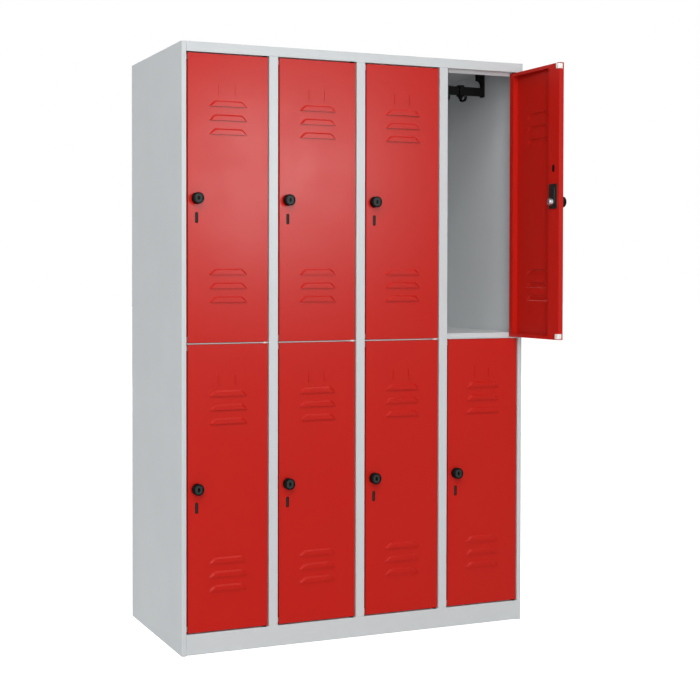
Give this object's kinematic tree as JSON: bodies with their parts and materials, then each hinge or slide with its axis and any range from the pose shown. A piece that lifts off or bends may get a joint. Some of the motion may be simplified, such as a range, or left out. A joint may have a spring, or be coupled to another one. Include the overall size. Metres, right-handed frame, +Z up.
{
  "type": "compartment locker",
  "caption": "Free-standing sheet-steel locker with two tiers of louvred hinged doors, turn locks, shelves and coat rails with sliding hooks.",
  "frame": {"origin": "middle of the footprint, on the floor", "axes": "+X to the right seen from the front, +Y towards the back, +Z up"},
  "size_m": [1.2052, 0.7452, 1.85],
  "materials": {
    "grey_powder_coat": "fine-textured semi-matt powder coat on sheet steel",
    "red_powder_coat": "smooth satin powder coat on sheet steel",
    "zinc_plated_steel": "zinc plated",
    "white_nylon": "moulded, matt",
    "black_plastic": "moulded, fine texture",
    "black_steel": "black passivated steel"
  },
  "bodies": {
    "carcass": {"left_side_panel": "grey_powder_coat", "right_side_panel": "grey_powder_coat", "partitions": "grey_powder_coat", "back_panel": "grey_powder_coat", "roof_panel": "grey_powder_coat", "floor_panel": "grey_powder_coat", "plinth_braces": "grey_powder_coat", "shelves": "grey_powder_coat", "hinge_plates": "zinc_plated_steel", "hinge_pins": "zinc_plated_steel", "hinge_washers": "white_nylon", "coat_rails": "black_plastic"},
    "door_upper_1": {"door_panel_upper_1": "red_powder_coat", "door_fittings_upper_1": "black_plastic"},
    "lock_upper_1": {"lock_knob_upper_1": "black_plastic", "lock_cam_upper_1": "black_steel"},
    "hook_upper_1_left": {"coat_hook_upper_1_left": "black_plastic"},
    "hook_upper_1_right": {"coat_hook_upper_1_right": "black_plastic"},
    "door_upper_2": {"door_panel_upper_2": "red_powder_coat", "door_fittings_upper_2": "black_plastic"},
    "lock_upper_2": {"lock_knob_upper_2": "black_plastic", "lock_cam_upper_2": "black_steel"},
    "hook_upper_2_left": {"coat_hook_upper_2_left": "black_plastic"},
    "hook_upper_2_right": {"coat_hook_upper_2_right": "black_plastic"},
    "door_upper_3": {"door_panel_upper_3": "red_powder_coat", "door_fittings_upper_3": "black_plastic"},
    "lock_upper_3": {"lock_knob_upper_3": "black_plastic", "lock_cam_upper_3": "black_steel"},
    "hook_upper_3_left": {"coat_hook_upper_3_left": "black_plastic"},
    "hook_upper_3_right": {"coat_hook_upper_3_right": "black_plastic"},
    "door_upper_4": {"door_panel_upper_4": "red_powder_coat", "door_fittings_upper_4": "black_plastic"},
    "lock_upper_4": {"lock_knob_upper_4": "black_plastic", "lock_cam_upper_4": "black_steel"},
    "hook_upper_4_left": {"coat_hook_upper_4_left": "black_plastic"},
    "hook_upper_4_right": {"coat_hook_upper_4_right": "black_plastic"},
    "door_lower_1": {"door_panel_lower_1": "red_powder_coat", "door_fittings_lower_1": "black_plastic"},
    "lock_lower_1": {"lock_knob_lower_1": "black_plastic", "lock_cam_lower_1": "black_steel"},
    "hook_lower_1_left": {"coat_hook_lower_1_left": "black_plastic"},
    "hook_lower_1_right": {"coat_hook_lower_1_right": "black_plastic"},
    "door_lower_2": {"door_panel_lower_2": "red_powder_coat", "door_fittings_lower_2": "black_plastic"},
    "lock_lower_2": {"lock_knob_lower_2": "black_plastic", "lock_cam_lower_2": "black_steel"},
    "hook_lower_2_left": {"coat_hook_lower_2_left": "black_plastic"},
    "hook_lower_2_right": {"coat_hook_lower_2_right": "black_plastic"},
    "door_lower_3": {"door_panel_lower_3": "red_powder_coat", "door_fittings_lower_3": "black_plastic"},
    "lock_lower_3": {"lock_knob_lower_3": "black_plastic", "lock_cam_lower_3": "black_steel"},
    "hook_lower_3_left": {"coat_hook_lower_3_left": "black_plastic"},
    "hook_lower_3_right": {"coat_hook_lower_3_right": "black_plastic"},
    "door_lower_4": {"door_panel_lower_4": "red_powder_coat", "door_fittings_lower_4": "black_plastic"},
    "lock_lower_4": {"lock_knob_lower_4": "black_plastic", "lock_cam_lower_4": "black_steel"},
    "hook_lower_4_left": {"coat_hook_lower_4_left": "black_plastic"},
    "hook_lower_4_right": {"coat_hook_lower_4_right": "black_plastic"}
  },
  "joints": [
    {"name": "door_swing_upper_1", "type": "hinge", "parent": "carcass", "child": "door_upper_1", "pos_m": [-0.328, -0.242, 0.945], "axis": [0, 0, 1], "range_deg": [0, 110]},
    {"name": "lock_turn_upper_1", "type": "hinge", "parent": "door_upper_1", "child": "lock_upper_1", "pos_m": [-0.5525, -0.242, 1.3805], "axis": [0, -1, 0], "range_deg": [0, 90]},
    {"name": "hook_slide_upper_1_left", "type": "slide", "parent": "carcass", "child": "hook_upper_1_left", "axis": [1, 0, 0], "range_m": [-0.037, 0.026]},
    {"name": "hook_slide_upper_1_right", "type": "slide", "parent": "carcass", "child": "hook_upper_1_right", "axis": [1, 0, 0], "range_m": [-0.0195, 0.0675]},
    {"name": "door_swing_upper_2", "type": "hinge", "parent": "carcass", "child": "door_upper_2", "pos_m": [-0.028, -0.242, 0.945], "axis": [0, 0, 1], "range_deg": [0, 110]},
    {"name": "lock_turn_upper_2", "type": "hinge", "parent": "door_upper_2", "child": "lock_upper_2", "pos_m": [-0.2525, -0.242, 1.3805], "axis": [0, -1, 0], "range_deg": [0, 90]},
    {"name": "hook_slide_upper_2_left", "type": "slide", "parent": "carcass", "child": "hook_upper_2_left", "axis": [1, 0, 0], "range_m": [-0.037, 0.026]},
    {"name": "hook_slide_upper_2_right", "type": "slide", "parent": "carcass", "child": "hook_upper_2_right", "axis": [1, 0, 0], "range_m": [-0.0195, 0.0675]},
    {"name": "door_swing_upper_3", "type": "hinge", "parent": "carcass", "child": "door_upper_3", "pos_m": [0.272, -0.242, 0.945], "axis": [0, 0, 1], "range_deg": [0, 110]},
    {"name": "lock_turn_upper_3", "type": "hinge", "parent": "door_upper_3", "child": "lock_upper_3", "pos_m": [0.0475, -0.242, 1.3805], "axis": [0, -1, 0], "range_deg": [0, 90]},
    {"name": "hook_slide_upper_3_left", "type": "slide", "parent": "carcass", "child": "hook_upper_3_left", "axis": [1, 0, 0], "range_m": [-0.037, 0.026]},
    {"name": "hook_slide_upper_3_right", "type": "slide", "parent": "carcass", "child": "hook_upper_3_right", "axis": [1, 0, 0], "range_m": [-0.0195, 0.0675]},
    {"name": "door_swing_upper_4", "type": "hinge", "parent": "carcass", "child": "door_upper_4", "pos_m": [0.572, -0.242, 0.945], "axis": [0, 0, 1], "range_deg": [-91, 19]},
    {"name": "lock_turn_upper_4", "type": "hinge", "parent": "door_upper_4", "child": "lock_upper_4", "pos_m": [0.57592, -0.46647, 1.3805], "axis": [0.9998, 0.0175, 0], "range_deg": [0, 90]},
    {"name": "hook_slide_upper_4_left", "type": "slide", "parent": "carcass", "child": "hook_upper_4_left", "axis": [1, 0, 0], "range_m": [-0.037, 0.026]},
    {"name": "hook_slide_upper_4_right", "type": "slide", "parent": "carcass", "child": "hook_upper_4_right", "axis": [1, 0, 0], "range_m": [-0.0195, 0.0675]},
    {"name": "door_swing_lower_1", "type": "hinge", "parent": "carcass", "child": "door_lower_1", "pos_m": [-0.328, -0.242, 0.069], "axis": [0, 0, 1], "range_deg": [0, 110]},
    {"name": "lock_turn_lower_1", "type": "hinge", "parent": "door_lower_1", "child": "lock_lower_1", "pos_m": [-0.5525, -0.242, 0.5045], "axis": [0, -1, 0], "range_deg": [0, 90]},
    {"name": "hook_slide_lower_1_left", "type": "slide", "parent": "carcass", "child": "hook_lower_1_left", "axis": [1, 0, 0], "range_m": [-0.037, 0.026]},
    {"name": "hook_slide_lower_1_right", "type": "slide", "parent": "carcass", "child": "hook_lower_1_right", "axis": [1, 0, 0], "range_m": [-0.0195, 0.0675]},
    {"name": "door_swing_lower_2", "type": "hinge", "parent": "carcass", "child": "door_lower_2", "pos_m": [-0.028, -0.242, 0.069], "axis": [0, 0, 1], "range_deg": [0, 110]},
    {"name": "lock_turn_lower_2", "type": "hinge", "parent": "door_lower_2", "child": "lock_lower_2", "pos_m": [-0.2525, -0.242, 0.5045], "axis": [0, -1, 0], "range_deg": [0, 90]},
    {"name": "hook_slide_lower_2_left", "type": "slide", "parent": "carcass", "child": "hook_lower_2_left", "axis": [1, 0, 0], "range_m": [-0.037, 0.026]},
    {"name": "hook_slide_lower_2_right", "type": "slide", "parent": "carcass", "child": "hook_lower_2_right", "axis": [1, 0, 0], "range_m": [-0.0195, 0.0675]},
    {"name": "door_swing_lower_3", "type": "hinge", "parent": "carcass", "child": "door_lower_3", "pos_m": [0.272, -0.242, 0.069], "axis": [0, 0, 1], "range_deg": [0, 110]},
    {"name": "lock_turn_lower_3", "type": "hinge", "parent": "door_lower_3", "child": "lock_lower_3", "pos_m": [0.0475, -0.242, 0.5045], "axis": [0, -1, 0], "range_deg": [0, 90]},
    {"name": "hook_slide_lower_3_left", "type": "slide", "parent": "carcass", "child": "hook_lower_3_left", "axis": [1, 0, 0], "range_m": [-0.037, 0.026]},
    {"name": "hook_slide_lower_3_right", "type": "slide", "parent": "carcass", "child": "hook_lower_3_right", "axis": [1, 0, 0], "range_m": [-0.0195, 0.0675]},
    {"name": "door_swing_lower_4", "type": "hinge", "parent": "carcass", "child": "door_lower_4", "pos_m": [0.572, -0.242, 0.069], "axis": [0, 0, 1], "range_deg": [0, 110]},
    {"name": "lock_turn_lower_4", "type": "hinge", "parent": "door_lower_4", "child": "lock_lower_4", "pos_m": [0.3475, -0.242, 0.5045], "axis": [0, -1, 0], "range_deg": [0, 90]},
    {"name": "hook_slide_lower_4_left", "type": "slide", "parent": "carcass", "child": "hook_lower_4_left", "axis": [1, 0, 0], "range_m": [-0.037, 0.026]},
    {"name": "hook_slide_lower_4_right", "type": "slide", "parent": "carcass", "child": "hook_lower_4_right", "axis": [1, 0, 0], "range_m": [-0.0195, 0.0675]}
  ]
}
